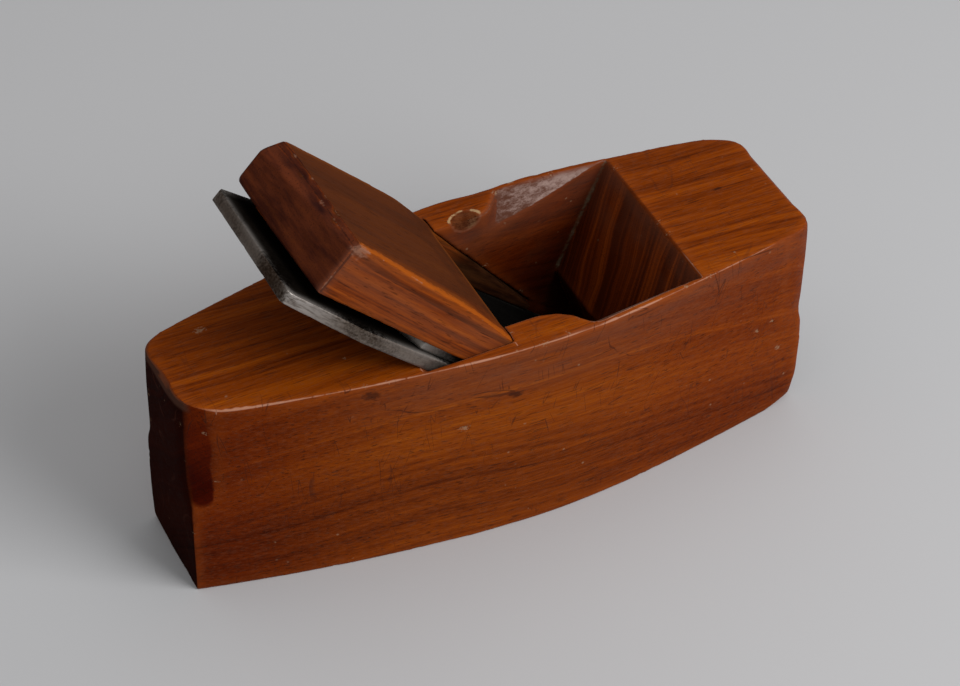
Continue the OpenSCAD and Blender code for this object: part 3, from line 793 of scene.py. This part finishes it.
# The backs of the tines are eased where they slide under the abutments
eased = grows(np.abs(side), 0.0272, 0.0008) * (normals @ OUT_FACE > 0.2) * (reach < 0.10)
points -= OUT_FACE * (eased * 0.00014)[:, None]

# Hammer bruises on the end's upper arris and its near corner
bruised = np.zeros(len(points))
chance = np.random.default_rng(21)
rim_points = points[(lost > 0.5) & (local[:, 0] > WEDGE_END - 0.004) & (local[:, 2] > back - 0.004)]
for centre in rim_points[chance.integers(0, len(rim_points), BLOWS)]:
    wide = chance.uniform(*BLOW_REACH)
    blow = near(points, centre, (wide, wide * 1.8, wide))
    points -= normals * (blow * chance.uniform(*BLOW_DEPTH))[:, None]
    bruised = np.maximum(bruised, blow * chance.uniform(0.2, 1.0))
corner_place, corner_reach = (WEDGE_END - 0.0025, -0.0248, back - 0.0015), (0.0042, 0.0030, 0.0030)
near_corner = near(on_iron(points, APEX), corner_place, corner_reach)
points -= normals * (near_corner * 0.0004)[:, None]

reshape(wedge.data, points)
note(wedge.data, "arris", lost)
note(wedge.data, "rubbed", spread(np.clip(lost, 0, 1), ends, 14) * 2.6)
note(wedge.data, "pale", np.maximum(bruised * 1.05, near_corner))
stations = np.linspace(reach.min(), reach.max(), 40)
edge_at = [side[np.abs(reach - station) < 0.002].min() for station in stations]
from_edge = side - np.interp(reach, stations, edge_at)
note(wedge.data, "near_edge", np.clip(1.35 - from_edge / 0.0036, 0, 1))
wedge.data.shade_smooth()

WEDGE_GRAIN = [
    (0.20, (0.040, 0.009, 0.0030)),
    (0.38, (0.105, 0.018, 0.0032)),
    (0.52, (0.190, 0.032, 0.0034)),
    (0.68, (0.275, 0.052, 0.0038)),
    (0.84, (0.360, 0.080, 0.0055)),
]
END_DARK, END_BROWN, END_RIM = (0.028, 0.007, 0.006), (0.128, 0.030, 0.012), (0.026, 0.008, 0.006)
SIDE_SHEEN, BACK_BROWN, SOFT_ARRIS = (0.215, 0.080, 0.042), (0.074, 0.021, 0.007), (0.165, 0.060, 0.036)
TINE_SHADE_DARK, TINE_SHADE_BROWN, WEDGE_PORE = (0.007, 0.003, 0.0015), (0.040, 0.015, 0.005), (0.022, 0.007, 0.004)
WEDGE_POLISH, EDGE_ORANGE, BRUISE = (0.40, 0.105, 0.010), (0.40, 0.088, 0.007), (0.34, 0.17, 0.11)

wedge_wood, surface, place = started("wedge_wood")
along, facing = tilted(place, -FACE_PITCH), tilted(facing_of(place), -FACE_PITCH)
up_wedge, across = part_of(along, "X"), part_of(place, "Y")
endwise = span(part_of(facing, "X"), -0.45, -0.72)
backward = span(part_of(facing, "Z"), 0.80, 0.93)
shade, fibre, pores = figure_of(along, (0.05, 0.35, 0.94), 0.008)
ribbon = part_of(along, "Z") + up_wedge * 0.05 + (cloud(along, (7, 40, 40)) - 0.5) * 0.003
colour = ramp(shade * 0.60 + layers(ribbon, 260, 3) * 0.42, WEDGE_GRAIN)

# Each face in its own tone: the dark end, a painted sheen on the near side, the dull back, and painted shade
# low on the far tine
dusk = cloud(along, (60, 24, 120), 4, 0.70, 0.36, 0.66)
colour = blend(colour, blend(END_DARK, END_BROWN, dusk), endwise * 0.88)
# Painted sheen along the near side
sheen = cloud(along, (14, 60, 120), 3, 0.6) * span(part_of(facing, "Y"), -0.80, -0.95)
colour = blend(colour, SIDE_SHEEN, sheen * 0.40)
colour = blend(colour, BACK_BROWN, backward * span(across, -0.0285, -0.017, 0.45, 0.88))
# Painted shade, deepening downwards, on the far tine low in the throat
tine_shade = span(part_of(place, "Z"), 0.070, 0.055) * span(across, 0.0, 0.01)
tine_mottle = cloud(along, (90, 500, 500), 3, 0.65)
colour = blend(colour, blend(TINE_SHADE_DARK, TINE_SHADE_BROWN, tine_mottle), tine_shade * 0.92)
colour = blend(colour, WEDGE_PORE, pores * 0.5)

# The arrises: dark round the end, paler on its near corner, polished orange along the near edge
ragged = cloud(along, (500, 900, 900), 3) * 0.5 - 0.25
knocked = endwise * span(noted(place, "arris") + ragged, 0.50, 0.85) * span(across, -0.0250, -0.0225)
colour = blend(colour, END_RIM, knocked * 0.75)
soft = noted(place, "rubbed") * span(across, -0.0215, -0.0245) * span(up_wedge, -0.117, -0.1215)
colour = blend(colour, SOFT_ARRIS, soft * 0.55)
polish = noted(place, "rubbed") * (1 - endwise) * (1 - tine_shade) * span(up_wedge, -0.1225, -0.116)
colour = blend(colour, WEDGE_POLISH, polish * (0.25 + backward * 0.25))
rubs = span(noted(place, "near_edge") + ragged * 0.8, 0.25, 0.75) * (1 - endwise) * backward
colour = blend(colour, EDGE_ORANGE, rubs * 0.85)
chips = noted(place, "arris") * span(cloud(place, (170, 170, 170), 3, 0.7), 0.62, 0.80)
chips = chips * span(across, -0.022, -0.0245) * span(up_wedge, -0.060, -0.070)
bruise = span(noted(place, "pale") + ragged + chips * 0.9, 0.45, 0.95)
colour = blend(colour, BRUISE, bruise * 0.6)

rough = span(fibre, 0, 1, 0.38, 0.52) + endwise * 0.15 + backward * 0.44 + bruise * 0.15
height = fibre * 0.4 - pores * 0.4 + cloud(along, (35, 90, 90), 2) * 0.5
coat(surface, colour, rough, height, WOOD_RELIEF, WOOD_GLEAM)
wedge.data.materials.append(wedge_wood)
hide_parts("wedge")
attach(wedge, "wedge")


# The studio is a wide floor of pale paper under even white air. A large soft lamp stands to the
# front right and a wide weak one hangs overhead.

FLOOR_REACH, PAPER = 15, (0.60, 0.60, 0.61, 1)
MIDDLE = Vector((0.01116, 0.01976, 0.02356))  # what the lamps and the camera look at

floor_mesh = bpy.data.meshes.new("studio_floor")
corners = [(FLOOR_REACH * a, FLOOR_REACH * b, 0) for a, b in ((-1, -1), (1, -1), (1, 1), (-1, 1))]
floor_mesh.from_pydata(corners, [], [(0, 1, 2, 3)])
floor = bpy.data.objects.new("studio_floor", floor_mesh)
bpy.context.scene.collection.objects.link(floor)
paper, surface, place = started("pale_floor")
surface.inputs["Base Color"].default_value = PAPER
surface.inputs["Roughness"].default_value = 0.9
surface.inputs["Specular IOR Level"].default_value = 0.1
floor_mesh.materials.append(paper)


def lamp(name, toward, distance, size, power):
    """A square soft lamp that looks at the plane's middle."""
    data = bpy.data.lights.new(name, "AREA")
    data.size = size
    data.energy = power
    made = bpy.data.objects.new(name, data)
    made.location = MIDDLE + Vector(toward).normalized() * distance
    made.rotation_euler = (MIDDLE - made.location).to_track_quat("-Z", "Y").to_euler()
    bpy.context.scene.collection.objects.link(made)


lamp("key_lamp", toward=(0.45, -0.64, 0.62), distance=1.4, size=0.85, power=12.5)
lamp("top_lamp", toward=(0.15, 0.10, 1.0), distance=1.6, size=1.2, power=2.0)

world = bpy.data.worlds.new("studio_air")
world.use_nodes = True
air = world.node_tree.nodes["Background"]
air.inputs["Color"].default_value = (1.0, 1.0, 1.0, 1)
air.inputs["Strength"].default_value = 0.36
bpy.context.scene.world = world
bpy.context.scene.view_settings.view_transform = "Standard"


# The camera stands off the heel's near quarter and looks down on the plane through a long lens,
# rolled by about a degree.

AZIMUTH, ELEVATION, ROLL = math.radians(-27.702), math.radians(43.841), math.radians(1.248)
CAMERA_DISTANCE = 0.94787

back_way = Vector((math.sin(AZIMUTH) * math.cos(ELEVATION), -math.cos(AZIMUTH) * math.cos(ELEVATION),
                   math.sin(ELEVATION)))
level = Vector((math.cos(AZIMUTH), math.sin(AZIMUTH), 0))
upright = back_way.cross(level)
right = level * math.cos(ROLL) + upright * math.sin(ROLL)
view = bpy.data.cameras.new("camera")
view.lens, view.sensor_width = 113.44, 36
view.clip_start, view.clip_end = 0.01, 60
camera = bpy.data.objects.new("camera", view)
turn = Matrix((right, back_way.cross(right), back_way)).transposed().to_4x4()
camera.matrix_world = Matrix.Translation(MIDDLE + back_way * CAMERA_DISTANCE) @ turn
bpy.context.scene.collection.objects.link(camera)
bpy.context.scene.camera = camera
